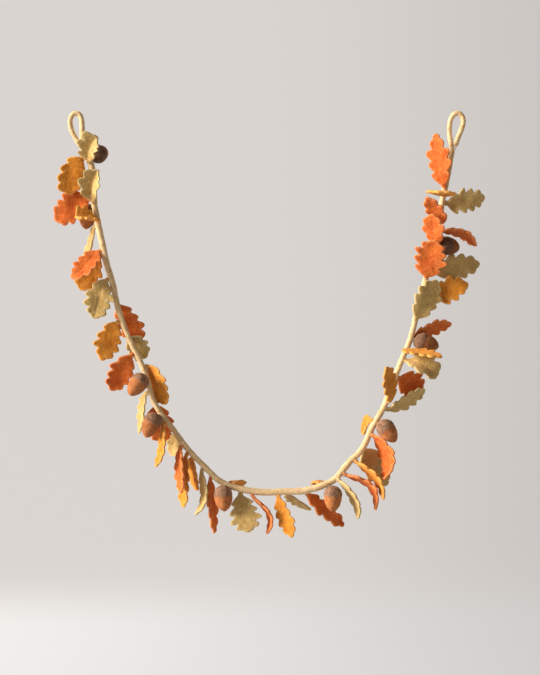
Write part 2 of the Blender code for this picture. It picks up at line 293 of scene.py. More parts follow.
felts = {
    "cord": {"base": srgb(222, 188, 140), "shade": srgb(204, 166, 114), "glow": srgb(244, 226, 190)},
    "olive": {"base": srgb(188, 153, 92), "shade": srgb(170, 134, 74), "glow": srgb(228, 204, 150)},
    "mustard": {"base": srgb(206, 128, 40), "shade": srgb(188, 108, 28), "glow": srgb(244, 186, 108)},
    "rust": {"base": srgb(204, 100, 40), "shade": srgb(184, 80, 28), "glow": srgb(244, 164, 104)},
    "nut": {"base": srgb(180, 110, 61), "shade": srgb(154, 88, 46), "glow": srgb(216, 160, 116)},
    "cap": {"base": srgb(146, 109, 84), "shade": srgb(112, 80, 60), "glow": srgb(176, 140, 114)},
}


def catmullRom(points, step, perSpan=24):
    ends = [points[0] * 2 - points[1]] + points + [points[-1] * 2 - points[-2]]
    fine = []
    for before, start, finish, after in zip(ends, ends[1:], ends[2:], ends[3:]):
        for part in range(perSpan):
            t = part / perSpan
            fine.append(
                0.5 * (2 * start + (finish - before) * t
                       + (2 * before - 5 * start + 4 * finish - after) * t ** 2
                       + (3 * start - 3 * finish + after - before) * t ** 3)
            )
    fine.append(points[-1])
    lengths = runningLength(fine)
    count = round(lengths[-1] / step)
    return [pointAt(fine, lengths, lengths[-1] * i / count) for i in range(count + 1)]


def runningLength(points):
    lengths = [0.0]
    for a, b in zip(points, points[1:]):
        lengths.append(lengths[-1] + (b - a).length)
    return lengths


def pointAt(points, lengths, distance):
    for i in range(1, len(points)):
        if lengths[i] >= distance:
            share = (distance - lengths[i - 1]) / (lengths[i] - lengths[i - 1])
            return points[i - 1].lerp(points[i], share)
    return points[-1].copy()


def setInputs(node, values):
    for socket, value in values.items():
        node.inputs[socket].default_value = value


def newNode(tree, kind, place, values=None, **settings):
    node = tree.nodes.new(kind)
    node.location = place
    for name, value in settings.items():
        setattr(node, name, value)
    setInputs(node, values or {})
    return node


def nodeGroup(name, kind, inputs, outputs=(("Geometry", "Geometry"),)):
    # a socket is its name and kind, and for some also the value it has at first, its lowest and its highest
    tree = bpy.data.node_groups.new(name, kind)
    for way, sockets in (("INPUT", inputs), ("OUTPUT", outputs)):
        for title, sort, *values in sockets:
            socket = tree.interface.new_socket(name=title, in_out=way, socket_type=f"NodeSocket{sort}")
            for setting, value in zip(("default_value", "min_value", "max_value"), values):
                setattr(socket, setting, value)
    return tree, newNode(tree, "NodeGroupInput", (-1200, 0)), newNode(tree, "NodeGroupOutput", (1200, 0))


def meshFrom(shape, name):
    mesh = bpy.data.meshes.new(name)
    shape.to_mesh(mesh)
    shape.free()
    return mesh


def skinRings(shell, rings):
    for ring, following in zip(rings, rings[1:]):
        for i in range(len(ring)):
            j = (i + 1) % len(ring)
            shell.faces.new((ring[i], ring[j], following[j], following[i]))


def linkObject(name, data):
    item = bpy.data.objects.new(name, data)
    bpy.context.scene.collection.objects.link(item)
    return item


def blendColours(tree, place, factor, under, over):
    node = newNode(tree, "ShaderNodeMix", place, data_type="RGBA")
    for source, socket in ((factor, "Factor"), (under, 6), (over, 7)):
        tree.links.new(source, node.inputs[socket])
    return node.outputs[2]


def buildWoolFelt():
    # mottled colour, a painted highlight along the edges, and fibre relief of hand felted wool
    tree, given, result = nodeGroup(
        "woolFelt", "ShaderNodeTree",
        (("Place", "Vector"), ("Base", "Color"), ("Shade", "Color"), ("Glow", "Color"),
         ("Rim", "Float", 0.0, 0.0, 1.0), ("Mottle Scale", "Float", 95.0, 0.0, 10000.0),
         ("Fleck Scale", "Float", 430.0, 0.0, 10000.0), ("Fibre Scale", "Float", 1500.0, 0.0, 10000.0)),
        (("Color", "Color"), ("Height", "Float"), ("Roughness", "Float")),
    )
    link = tree.links.new

    def texture(name, place, values):
        node = newNode(tree, "ShaderNodeTexNoise", place, values)
        link(given.outputs["Place"], node.inputs["Vector"])
        link(given.outputs[f"{name} Scale"], node.inputs["Scale"])
        return node.outputs["Fac"]

    def mask(source, place, low, high, most):
        node = newNode(tree, "ShaderNodeMapRange", place, {"From Min": low, "From Max": high, "To Max": most},
                       interpolation_type="SMOOTHSTEP")
        link(source, node.inputs["Value"])
        return node.outputs["Result"]

    mottle = texture("Mottle", (-900, 300), {"Detail": 3.0, "Roughness": 0.55})
    fleck = texture("Fleck", (-900, 50), {"Detail": 4.0, "Roughness": 0.6, "Distortion": 0.8})
    fibre = texture("Fibre", (-900, -250), {"Detail": 5.0, "Roughness": 0.7, "Distortion": 2.6})
    base, shade, glow = (given.outputs[name] for name in ("Base", "Shade", "Glow"))
    shaded = blendColours(tree, (-400, 300), mask(mottle, (-650, 300), 0.40, 0.68, 1.0), base, shade)
    flecked = blendColours(tree, (-150, 300), mask(fleck, (-650, 50), 0.52, 0.72, 0.55), shaded, glow)
    # painted highlight: near the edges the colour goes part way towards the glow colour
    rimHighlightShare = newNode(tree, "ShaderNodeMath", (-150, 50), {1: 0.5}, operation="MULTIPLY")
    link(given.outputs["Rim"], rimHighlightShare.inputs[0])
    rimmed = blendColours(tree, (100, 300), rimHighlightShare.outputs["Value"], flecked, glow)
    haired = blendColours(tree, (350, 300), mask(fibre, (-650, -250), 0.56, 0.74, 0.38), rimmed, glow)
    link(haired, result.inputs["Color"])

    fleckHeight = newNode(tree, "ShaderNodeMath", (-400, -150), {1: 1.4}, operation="MULTIPLY")
    link(fleck, fleckHeight.inputs[0])
    height = newNode(tree, "ShaderNodeMath", (-150, -200), operation="ADD")
    link(fleckHeight.outputs["Value"], height.inputs[0])
    link(fibre, height.inputs[1])
    link(height.outputs["Value"], result.inputs["Height"])
    rough = newNode(tree, "ShaderNodeMapRange", (100, -250), {"To Min": 0.82, "To Max": 0.98})
    link(fibre, rough.inputs["Value"])
    link(rough.outputs["Result"], result.inputs["Roughness"])
    return tree


woolFelt = buildWoolFelt()


def newMaterial(name):
    material = bpy.data.materials.new(name)
    material.use_nodes = True
    return material, material.node_tree, newNode(material.node_tree, "ShaderNodeTexCoord", (-1200, 0))


def placeFelt(tree, coords, look, place, sizes):
    colours = {name.title(): felts[look][name] for name in ("base", "shade", "glow")}
    felt = newNode(tree, "ShaderNodeGroup", place, {**colours, **sizes}, node_tree=woolFelt)
    tree.links.new(coords.outputs["Object"], felt.inputs["Place"])
    return felt


def finishFelt(tree, look, colour, felt, relieved, bump, sheen):
    # the colour, one felt's roughness and another's relief, or the same one's, go to the shader
    shader = tree.nodes["Principled BSDF"]
    link = tree.links.new
    relief = newNode(tree, "ShaderNodeBump", (-250, -250), {"Strength": 0.7, "Distance": bump})
    link(relieved.outputs["Height"], relief.inputs["Height"])
    link(colour, shader.inputs["Base Color"])
    link(felt.outputs["Roughness"], shader.inputs["Roughness"])
    link(relief.outputs["Normal"], shader.inputs["Normal"])
    setInputs(shader, {"Specular IOR Level": 0.12, "Sheen Weight": sheen, "Sheen Roughness": 0.55,
                       "Sheen Tint": felts[look]["glow"]})


def feltMaterial(name, look, sizes, bump=0.00035, sheen=0.35):
    material, tree, coords = newMaterial(name)
    felt = placeFelt(tree, coords, look, (-600, 0), sizes)
    # the painted highlight's mask along the leaf's edge, read from the mesh
    rim = newNode(tree, "ShaderNodeAttribute", (-900, -250), attribute_name="rim")
    tree.links.new(rim.outputs["Fac"], felt.inputs["Rim"])
    finishFelt(tree, look, felt.outputs["Color"], felt, felt, bump, sheen)
    return material


def acornMaterial():
    # one felt for the cap and one for the nut, mixed where the cap's lip ends
    material, tree, coords = newMaterial("feltAcorn")
    nut = placeFelt(tree, coords, "nut", (-900, 200), {"Mottle Scale": 120.0, "Fleck Scale": 520.0})
    cap = placeFelt(tree, coords, "cap", (-900, -200), {"Mottle Scale": 200.0, "Fleck Scale": 620.0})
    mask = newNode(tree, "ShaderNodeAttribute", (-900, -500), attribute_name="cap")
    colour = blendColours(tree, (-550, 100), mask.outputs["Fac"], nut.outputs["Color"], cap.outputs["Color"])
    # painted shade: the colour is multiplied by each acorn's own darkening factor
    tone = newNode(tree, "ShaderNodeAttribute", (-550, 350), attribute_name="tone")
    paintedShading = newNode(tree, "ShaderNodeMix", (-300, 200), {"Factor": 1.0},
                    data_type="RGBA", blend_type="MULTIPLY")
    tree.links.new(colour, paintedShading.inputs[6])
    tree.links.new(tone.outputs["Fac"], paintedShading.inputs[7])
    finishFelt(tree, "nut", paintedShading.outputs[2], nut, cap, 0.0003, 0.3)
    return material


materials = {
    "cord": feltMaterial("feltCord", "cord", {"Mottle Scale": 120.0, "Fleck Scale": 380.0}),
    "olive": feltMaterial("feltOlive", "olive", {"Mottle Scale": 90.0}),
    "mustard": feltMaterial("feltMustard", "mustard", {"Mottle Scale": 80.0}),
    "rust": feltMaterial("feltRust", "rust", {"Mottle Scale": 85.0}),
    "acorn": acornMaterial(),
    "nutWool": feltMaterial("feltNut", "nut", {"Mottle Scale": 120.0, "Fleck Scale": 520.0}),
    "thread": feltMaterial("sewingThread", "cord", {"Mottle Scale": 300.0, "Fleck Scale": 900.0},
                           bump=0.0001, sheen=0.1),
}
print("materials made")

camera = {"distance": 2.2, "lens": 90.0, "sensor": 36.0, "right": 0.001, "up": -0.0168}
low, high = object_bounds()
centre = (low + high) / 2
cameraData = bpy.data.cameras.new("camera")
cameraData.lens = camera["lens"]
cameraData.sensor_width = camera["sensor"]
cameraItem = linkObject("camera", cameraData)
cameraItem.location = (centre.x + camera["right"], -camera["distance"], centre.z + camera["up"])
cameraItem.rotation_euler = (math.radians(90), 0.0, 0.0)
bpy.context.scene.camera = cameraItem
bpy.context.scene.view_settings.view_transform = "Standard"

studio = {
    "keyFrom": (-0.92, -0.27, 0.33),
    "keyStrength": 7.2,
    "keySpread": 26.0,
    "keyColour": (1.0, 0.965, 0.915),
    "ambient": 0.27,
    "ambientColour": (1.0, 0.975, 0.95),
    "floor": -0.886,
    "wall": 1.2,
    "sweep": 0.18,
    "sweepSteps": 16,
    "half": 4.0,
    "near": -3.2,
    "wallHeight": 3.2,
    "wallTone": srgb(220, 215, 211),
    "floorTone": srgb(222, 219, 217),
    # painted light and shade: the paper's tone is raised on the left and lowered on the right, on the wall
    # and on the floor
    "wallFade": (0.2, 0.95, 0.96, 0.82),
    "floorFade": (-0.5, 1.0, 1.19, 0.82),
    "toneStart": 0.02,
    "toneEnd": 0.13,
    # painted light: most of the paper's tone is its own glow, in place of lamp light on it
    "paperGlow": 0.9,
}


def makeStudio():
    lamp = bpy.data.lights.new("keyLight", "SUN")
    lamp.energy = studio["keyStrength"]
    lamp.angle = math.radians(studio["keySpread"])
    lamp.color = studio["keyColour"]
    sun = linkObject("keyLight", lamp)
    sun.rotation_mode = "QUATERNION"
    sun.rotation_quaternion = Vector(studio["keyFrom"]).to_track_quat("Z", "Y")
    world = bpy.data.worlds.new("studioAir")
    world.use_nodes = True
    air = world.node_tree.nodes["Background"]
    setInputs(air, {"Color": (*studio["ambientColour"], 1.0), "Strength": studio["ambient"]})
    bpy.context.scene.world = world

    # one seamless sheet: floor, soft sweep, wall
    profile = [(studio["near"], studio["floor"])]
    for i in range(studio["sweepSteps"] + 1):
        angle = math.pi / 2 * i / studio["sweepSteps"]
        profile.append((
            studio["wall"] - studio["sweep"] * (1 - math.sin(angle)),
            studio["floor"] + studio["sweep"] * (1 - math.cos(angle)),
        ))
    profile.append((studio["wall"], studio["floor"] + studio["wallHeight"]))
    sheet = bmesh.new()
    rows = []
    for y, z in profile:
        rows.append([sheet.verts.new((centre.x + side * studio["half"], y, z)) for side in (-1, 1)])
    for a, b in zip(rows, rows[1:]):
        sheet.faces.new((a[0], a[1], b[1], b[0]))
    mesh = meshFrom(sheet, "backdrop")
    mesh.shade_smooth()
    paper, tree, coords = newMaterial("backdropPaper")
    shader = tree.nodes["Principled BSDF"]
    link = tree.links.new
    parts = newNode(tree, "ShaderNodeSeparateXYZ", (-700, 0))
    tones = {"From Min": studio["floor"] + studio["toneStart"],
             "From Max": studio["floor"] + studio["toneEnd"]}
    rise = newNode(tree, "ShaderNodeMapRange", (-500, 0), tones, interpolation_type="SMOOTHSTEP")
    mix = newNode(tree, "ShaderNodeMix", (-250, 0), {6: studio["floorTone"], 7: studio["wallTone"]},
                  data_type="RGBA")
    link(coords.outputs["Object"], parts.inputs["Vector"])
    link(parts.outputs["Z"], rise.inputs["Value"])
    link(rise.outputs["Result"], mix.inputs["Factor"])
    # painted light: the paper's tone is scaled from left to right, lighter on the left and darker on the
    # right
    light = newNode(tree, "ShaderNodeMix", (-250, 300), data_type="FLOAT")
    link(rise.outputs["Result"], light.inputs[0])
    for place, name, socket in ((300, "floorFade", 2), (600, "wallFade", 3)):
        values = dict(zip(("From Min", "From Max", "To Min", "To Max"), studio[name]))
        paintedLightFade = newNode(tree, "ShaderNodeMapRange", (-500, place), values, interpolation_type="SMOOTHSTEP")
        link(parts.outputs["X"], paintedLightFade.inputs["Value"])
        link(paintedLightFade.outputs["Result"], light.inputs[socket])
    paintedShading = newNode(tree, "ShaderNodeVectorMath", (-50, 100), operation="SCALE")
    link(mix.outputs[2], paintedShading.inputs[0])
    link(light.outputs[0], paintedShading.inputs["Scale"])
    # painted light: the paper glows with its tone, and only the rest is lit colour
    paint = newNode(tree, "ShaderNodeVectorMath", (150, 100), {"Scale": 1.0 - studio["paperGlow"]},
                    operation="SCALE")
    link(paintedShading.outputs["Vector"], paint.inputs[0])
    link(paint.outputs["Vector"], shader.inputs["Base Color"])
    link(paintedShading.outputs["Vector"], shader.inputs["Emission Color"])
    setInputs(shader, {"Emission Strength": studio["paperGlow"], "Roughness": 0.9, "Specular IOR Level": 0.1})
    # the sheet has one side only, so that the object can be seen from behind it
    facing = newNode(tree, "ShaderNodeNewGeometry", (300, 500))
    clear = newNode(tree, "ShaderNodeBsdfTransparent", (300, 250))
    oneSided = newNode(tree, "ShaderNodeMixShader", (600, 300))
    link(facing.outputs["Backfacing"], oneSided.inputs["Fac"])
    link(shader.outputs["BSDF"], oneSided.inputs[1])
    link(clear.outputs["BSDF"], oneSided.inputs[2])
    link(oneSided.outputs["Shader"], tree.nodes["Material Output"].inputs["Surface"])
    mesh.materials.append(paper)
    linkObject("backdrop", mesh)


makeStudio()
print("camera and studio made")


def tubeAlong(tree, given, line):
    # a closed tube along the line, in the group's radius and sides
    circle = newNode(tree, "GeometryNodeCurvePrimitiveCircle", (-800, -200))
    tube = newNode(tree, "GeometryNodeCurveToMesh", (-550, 0), {"Fill Caps": True})
    for name, socket in (("Sides", "Resolution"), ("Radius", "Radius")):
        tree.links.new(given.outputs[name], circle.inputs[socket])
    tree.links.new(line, tube.inputs["Curve"])
    tree.links.new(circle.outputs["Curve"], tube.inputs["Profile Curve"])
    return tube


def finishShape(tree, given, result, shape):
    # the shape as one smooth mesh in the group's material
    for place, kind in ((600, "RealizeInstances"), (800, "SetShadeSmooth"), (1000, "SetMaterial")):
        node = newNode(tree, f"GeometryNode{kind}", (place, 100))
        tree.links.new(shape, node.inputs["Geometry"])
        shape = node.outputs["Geometry"]
    tree.links.new(given.outputs["Material"], node.inputs["Material"])
    tree.links.new(shape, result.inputs["Geometry"])


def buildRopeTree():
    # a felted rope along the line that it is given
    tree, given, result = nodeGroup(
        "feltRope", "GeometryNodeTree",
        (("Geometry", "Geometry"), ("Radius", "Float", 0.004, 0.0, 1.0), ("Sides", "Int", 28, 3, 128),
         ("Lump Depth", "Float", 0.0004, 0.0, 0.01), ("Lump Scale", "Float", 95.0, 0.0, 10000.0),
         ("Grain Depth", "Float", 0.00015, 0.0, 0.01), ("Grain Scale", "Float", 420.0, 0.0, 10000.0),
         ("Seed", "Float", 0.0, 0.0, 1000.0), ("Material", "Material")),
    )
    link = tree.links.new
    tube = tubeAlong(tree, given, given.outputs["Geometry"])
    thick = newNode(tree, "GeometryNodeInputRadius", (-800, 150))
    link(thick.outputs["Radius"], tube.inputs["Scale"])
    normal = newNode(tree, "GeometryNodeInputNormal", (-550, -500))
    total = newNode(tree, "ShaderNodeMath", (100, 400), operation="ADD")
    for i, name in enumerate(("Lump", "Grain")):
        up = 300 + 300 * i
        lumps = newNode(tree, "ShaderNodeTexNoise", (-550, up), {"Detail": 2.0}, noise_dimensions="4D")
        link(given.outputs[f"{name} Scale"], lumps.inputs["Scale"])
        link(given.outputs["Seed"], lumps.inputs["W"])
        # noise around 0.5 becomes a level around nothing
        level = newNode(tree, "ShaderNodeMath", (-300, up), {1: 4.0, 2: -2.0}, operation="MULTIPLY_ADD")
        link(lumps.outputs["Fac"], level.inputs[0])
        push = newNode(tree, "ShaderNodeMath", (-100, up), operation="MULTIPLY")
        link(level.outputs["Value"], push.inputs[0])
        link(given.outputs[f"{name} Depth"], push.inputs[1])
        link(push.outputs["Value"], total.inputs[i])
    offset = newNode(tree, "ShaderNodeVectorMath", (300, 0), operation="SCALE")
    link(normal.outputs["Normal"], offset.inputs[0])
    link(total.outputs["Value"], offset.inputs["Scale"])
    moved = newNode(tree, "GeometryNodeSetPosition", (450, 100))
    link(tube.outputs["Mesh"], moved.inputs["Geometry"])
    link(offset.outputs["Vector"], moved.inputs["Offset"])
    finishShape(tree, given, result, moved.outputs["Geometry"])
    return tree


def settled(item, name):
    # the item's shape as its modifiers leave it, as a plain mesh; the item and its data go
    depsgraph = bpy.context.evaluated_depsgraph_get()
    mesh = bpy.data.meshes.new_from_object(item.evaluated_get(depsgraph), depsgraph=depsgraph)
    data = item.data
    bpy.data.objects.remove(item, do_unlink=True)
    (bpy.data.curves if isinstance(data, bpy.types.Curve) else bpy.data.meshes).remove(data)
    mesh.name = name
    return mesh


def grow(item, tree, name, **inputs):
    # runs a node tree on the item and keeps what it makes as a plain mesh
    modifier = item.modifiers.new(tree.name, "NODES")
    modifier.node_group = tree
    for socket in tree.interface.items_tree:
        key = socket.name[0].lower() + socket.name[1:].replace(" ", "")
        if getattr(socket, "in_out", "") == "INPUT" and key in inputs:
            modifier[socket.identifier] = inputs[key]
    return linkObject(name, settled(item, name))


def between(stops, share):
    for (a, low), (b, high) in zip(stops, stops[1:]):
        if share <= b:
            part = (share - a) / (b - a)
            return low + (high - low) * part * part * (3 - 2 * part)
    return stops[-1][1]


def routeCurve(name, points, endRound, thickness):
    # a poly line whose radius falls away over the last bit, so that the rope's ends are round
    lengths = runningLength(points)
    data = bpy.data.curves.new(name, "CURVE")
    data.dimensions = "3D"
    spline = data.splines.new("POLY")
    spline.points.add(len(points) - 1)
    for spot, point, length in zip(spline.points, points, lengths):
        spot.co = (*point, 1.0)
        inset = min(length, lengths[-1] - length) / endRound
        spot.radius = (math.sqrt(max(1.0 - (1.0 - min(inset, 1.0)) ** 2, cord["leastRound"]))
                       * between(thickness, length / lengths[-1]))
    return linkObject(name, data)


ropeTree = buildRopeTree()
coarseRoute = catmullRom([Vector((right, 0.0, up)) for right, up in cord["route"]], cord["step"])
coarseLengths = runningLength(coarseRoute)


def makeRope(name, points, diameter, lumpDepth, seed, thickness=((0.0, 1.0), (1.0, 1.0))):
    rope = grow(
        routeCurve(f"{name}Line", points, diameter * cord["endRound"], thickness), ropeTree, f"{name}_felt",
        radius=diameter / 2, sides=cord["sides"], lumpDepth=lumpDepth, lumpScale=cord["lumpScale"],
        grainDepth=cord["grainDepth"], grainScale=cord["grainScale"], seed=seed,
        material=materials["cord"],
    )
    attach(rope, "root")
    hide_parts(name)
    tuple(points[0])
    runningLength(points)[-1]
    [tuple(point) for point in points]
    return rope


cordPoints = catmullRom(coarseRoute, cord["ring"], perSpan=16)
ropes = [makeRope("cord", cordPoints, cord["diameter"], cord["lumpDepth"], cord["seed"], cord["thickness"])]
for seed, (name, route) in enumerate(loops["routes"].items(), loops["firstSeed"]):
    rough = catmullRom([Vector((right, -near, up)) for right, near, up in route], loops["step"])
    points = catmullRom(rough, loops["ring"], perSpan=12)
    ropes.append(makeRope(name, points, loops["diameter"], loops["lumpDepth"], float(seed)))
print("cord and loops made")


def seat(along, around):
    reach = 4.0 * mm
    middle = pointAt(coarseRoute, coarseLengths, along)
    ahead = pointAt(coarseRoute, coarseLengths, along + reach)
    behind = pointAt(coarseRoute, coarseLengths, max(along - reach, 0.0))
    outside = (ahead - behind).normalized().cross(towardsViewer)
    angle = math.radians(around)
    return middle, towardsViewer * math.cos(angle) + outside * math.sin(angle)


def bezier(points, t):
    a, b, c, d = points
    s = 1.0 - t
    return a * s ** 3 + b * 3 * s * s * t + c * 3 * s * t * t + d * t ** 3


def leafFrames(row, shares):
    # points, directions and sideways vectors down the midrib
    middle, outwards = seat(row["along"] * mm, row["around"])
    root = middle + outwards * (cord["diameter"] / 2 + leaf["seatGap"])
    tip = middle + Vector((row["right"], -row["near"], row["up"])) * mm
    chord = (tip - root).normalized()
    facing = (towardsViewer - chord * towardsViewer.dot(chord)).normalized()
    roll = math.radians(row["roll"])
    normal = facing * math.cos(roll) + chord.cross(facing) * math.sin(roll)
    sideways = chord.cross(normal)
    bow = (normal * row["arch"] + sideways * row["bend"]) * mm * 4 / 3
    controls = (root, root + outwards * leaf["lead"],
                root.lerp(tip, leaf["bowPlace"]) + bow * leaf["bowReach"], tip)
    fine = [bezier(controls, i / leaf["bezierSteps"]) for i in range(leaf["bezierSteps"] + 1)]
    lengths = runningLength(fine)
    points = [pointAt(fine, lengths, share * lengths[-1]) for share in shares]
    directions = []
    for i in range(len(points)):
        directions.append((points[min(i + 1, len(points) - 1)] - points[max(i - 1, 0)]).normalized())
    directions[0] = (fine[1] - fine[0]).normalized()
    sides = [None] * len(points)
    turned = chord.rotation_difference(directions[-1]) @ sideways
    sides[-1] = turned
    for i in range(len(points) - 2, -1, -1):
        turned = directions[i + 1].rotation_difference(directions[i]) @ turned
        sides[i] = turned
    points[0] = points[0] - outwards * leaf["rootSink"]
    return points, directions, sides, lengths[-1], outwards


def halfWidth(share, width, length, form):
    # an oval with round lobes that lean towards the tip
    oval = math.sin(math.pi * min(share, 1.0) ** form["widest"]) ** leaf["fullness"]
    lobeShare = (leaf["lobesEnd"] - leaf["stemShare"]) / form["lobes"]
    place = max(share - leaf["stemShare"], 0.0) / lobeShare
    lobe = min(int(place), form["lobes"])
    part = place - lobe
    if lobe < form["lobes"]:
        bulge = math.sin(math.pi * part ** leaf["lobeLean"]) ** leaf["lobeRound"]
    else:
        endShare, endRound = leaf["endLobe"]
        bulge = min(part * lobeShare / endShare, 1.0) ** endRound
    least = leaf["tipWidth"] / 2
    if share < leaf["stemShare"]:
        least = leaf["stemWidth"] / 2
        oval = 0.0
    half = max(width / 2 * oval * (1.0 - form["notch"] * (1.0 - bulge)) * form["swell"][lobe], least)
    fromTip = (1.0 - share) * length / (leaf["tipWidth"] * leaf["tipShare"])
    if fromTip < 1.0:
        half *= math.sqrt(max(1.0 - (1.0 - fromTip) ** 2, leaf["leastWide"]))
    return half


def leafShell(row, forms):
    stations, width = leaf["stations"], row["width"] * mm
    shares = [i / (stations - 1) for i in range(stations)]
    points, directions, sides, length, outwards = leafFrames(row, shares)
    fold = math.radians(row["fold"])
    slope, level = math.tan(fold), math.cos(fold)
    edge = leaf["edgeThickness"] / 2
    foldRound = leaf["foldRound"]
    shell = bmesh.new()
    rings, rimLine, area = [], [], 0.0
    for share, point, direction, side in zip(shares, points, directions, sides):
        up = side.cross(direction)
        half = halfWidth(share, width, length, forms["right"])
        other = halfWidth(share, width, length, forms["left"])
        area += (half + other) * length / (stations - 1)
        lead = min(max((share - leaf["stemShare"]) / leaf["foldStart"], 0.0), 1.0)
        fromTip = min((1.0 - share) * length / leaf["tipRound"], 1.0)
        endThin = math.sqrt(max(1.0 - (1.0 - fromTip) ** 2, leaf["leastThick"]))
        ring = []
        for face in (1, -1):
            # each face ends short of the edge, and three points round the edge off
            for i in range(-leaf["across"], leaf["across"] + 1):
                across = i / leaf["across"] * face
                reach = half if across > 0 else other
                inset = abs(across)
                place = math.copysign(inset * max(reach - edge, reach * leaf["leastFlat"]), across)
                thick = leaf["thickness"] + (leaf["edgeThickness"] - leaf["thickness"]) * inset
                rise = slope * (math.sqrt(place * place + foldRound ** 2) - foldRound) * lead
                groove = leaf["crease"] * math.exp(-(place / leaf["creaseWidth"]) ** 2) * lead * row["crease"]
                sweep = leaf["sweep"] * max(reach - leaf["tipWidth"] / 2, 0.0) * inset
                raised = rise + face * (thick / 2 * endThin) - groove
                ring.append(point + side * place * level + up * raised + direction * sweep)
            reach = half if face > 0 else other
            rise = slope * (math.sqrt(reach * reach + foldRound ** 2) - foldRound) * lead
            sweep = leaf["sweep"] * max(reach - leaf["tipWidth"] / 2, 0.0)
            spot = point + side * math.copysign(reach, face) * level + up * rise + direction * sweep
            for height in leaf["edgeLevels"]:
                back = edge * (1.0 - math.sqrt(1.0 - height ** 2))
                ring.append(spot - side * math.copysign(back, face) * level
                            + up * edge * height * face * endThin)
            rimLine.append(spot)
        rings.append([shell.verts.new(spot) for spot in ring])
    skinRings(shell, rings)
    shell.faces.new(rings[0])
    shell.faces.new(rings[-1])
    bmesh.ops.recalc_face_normals(shell, faces=shell.faces)
    return shell, rimLine, area, length, outwards


def remeshed(name, shell):
    item = linkObject(name, meshFrom(shell, name))
    remesh = item.modifiers.new("remesh", "REMESH")
    remesh.mode = "VOXEL"
    remesh.voxel_size = leaf["voxel"]
    remesh.adaptivity = 0.0
    smooth = item.modifiers.new("smooth", "SMOOTH")
    smooth.factor = 0.5
    smooth.iterations = leaf["smoothRounds"]
    return settled(item, name)


def feltSurface(mesh, seed, facing):
    # slow waves move both faces together, puckers and grain move each face along its normal
    away = Vector((seed * 7.31, seed * 3.17, seed * 5.73))
    normals = [vertex.normal.copy() for vertex in mesh.vertices]
    for vertex, normal in zip(mesh.vertices, normals):
        spot = vertex.co
        wave = noise.noise(spot * leaf["warpScale"] + away) * leaf["warp"]
        dent = noise.noise(spot * leaf["puckerScale"] + away * 2)
        dent = (abs(dent) * 2.0 - leaf["puckerRest"]) * leaf["pucker"]
        nap = noise.noise(spot * leaf["grainScale"] + away * 3) * leaf["grain"]
        vertex.co = spot + facing * wave * 2 + normal * (dent + nap)


# painted highlight mask: one on the leaf's outline, falling to nothing a few millimetres in
def rimHighlightMask(mesh, rimLine):
    tree = KDTree(len(rimLine))
    for i, spot in enumerate(rimLine):
        tree.insert(spot, i)
    tree.balance()
    mask = mesh.attributes.new("rim", "FLOAT", "POINT")
    for i, vertex in enumerate(mesh.vertices):
        distance = tree.find(vertex.co)[2]
        mask.data[i].value = max(1.0 - distance / leaf["rimWidth"], 0.0) ** leaf["rimFade"]


def makeLeaf(name, row, seed, solid):
    draw = random.Random(seed)
    reach = Vector((row["right"], row["near"], row["up"])).length * mm
    shared = {
        "notch": draw.uniform(*leaf["notch"]),
        "widest": draw.uniform(*leaf["widest"]),
        "lobes": leaf["lobes"] + (1 if reach > leaf["longReach"] else 0),
    }
    forms = {
        side: {**shared, "swell": [draw.uniform(*leaf["swell"]) for _ in range(shared["lobes"] + 1)]}
        for side in ("left", "right")
    }
    row["crease"] = draw.choice((0.0, 0.4, 1.0))
    shell, rimLine, area, length, outwards = leafShell(row, forms)
    mesh = remeshed(name, shell)
    rimHighlightMask(mesh, rimLine)
    feltSurface(mesh, seed, (towardsViewer + outwards * leaf["facingLean"]).normalized())
    mesh.materials.append(materials[row["felt"]])
    mesh.shade_smooth()
    item = linkObject(name, mesh)
    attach(item, "root")
    if solid:
        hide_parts(solid)
    return item


leaves = []
for number, values in enumerate(leafRows, 1):
    row = dict(zip(leaf["columns"], values))
    solid = f"leaf_{number:02d}_{row['felt']}"
    leaves.append((row, makeLeaf(f"{solid}_felt", row, number, solid)))
for number, values in enumerate(tuckedRows, 1):
    row = dict(zip(leaf["columns"], values))
    name = f"leaf_tucked_{number}_{row['felt']}"
    leaves.append((row, makeLeaf(name, row, leaf["tuckedSeed"] + number, None)))
print("leaves made")


def acornProfile():
    # radius, height and cap share from the cap's top to the nut's point
    profile = []
    cap, nut, reach = acorn["capRadius"], acorn["nutRadius"], acorn["tipReach"]
    first, span = acorn["capAngles"]
    for i in range(1, acorn["capRings"] + 1):
        angle = math.radians(first + span * i / acorn["capRings"])
        profile.append((cap * math.sin(angle), cap * math.cos(angle), 1.0))
    for out, up, share in acorn["lip"]:
        profile.append((cap + out * mm, up * mm, share))
    first, span = acorn["nutShares"]
    shoulder, taper = acorn["shoulder"], acorn["taper"]
    for i in range(1, acorn["nutRings"] + 1):
        share = first + span * i / acorn["nutRings"]
        fall = max(share - shoulder, 0.0) ** taper / (1.0 - shoulder) ** taper
        radius = nut * (1.0 - fall) ** acorn["fullness"]
        nub = acorn["nub"] * mm * math.exp(-((share - acorn["nubPlace"]) / acorn["nubReach"]) ** 2)
        profile.append((max(radius, nub), -share * reach, max(0.3 - 0.1 * i, 0.0)))
    radius, share = acorn["point"]
    profile.append((radius * mm, -share * reach, 0.0))
    return profile


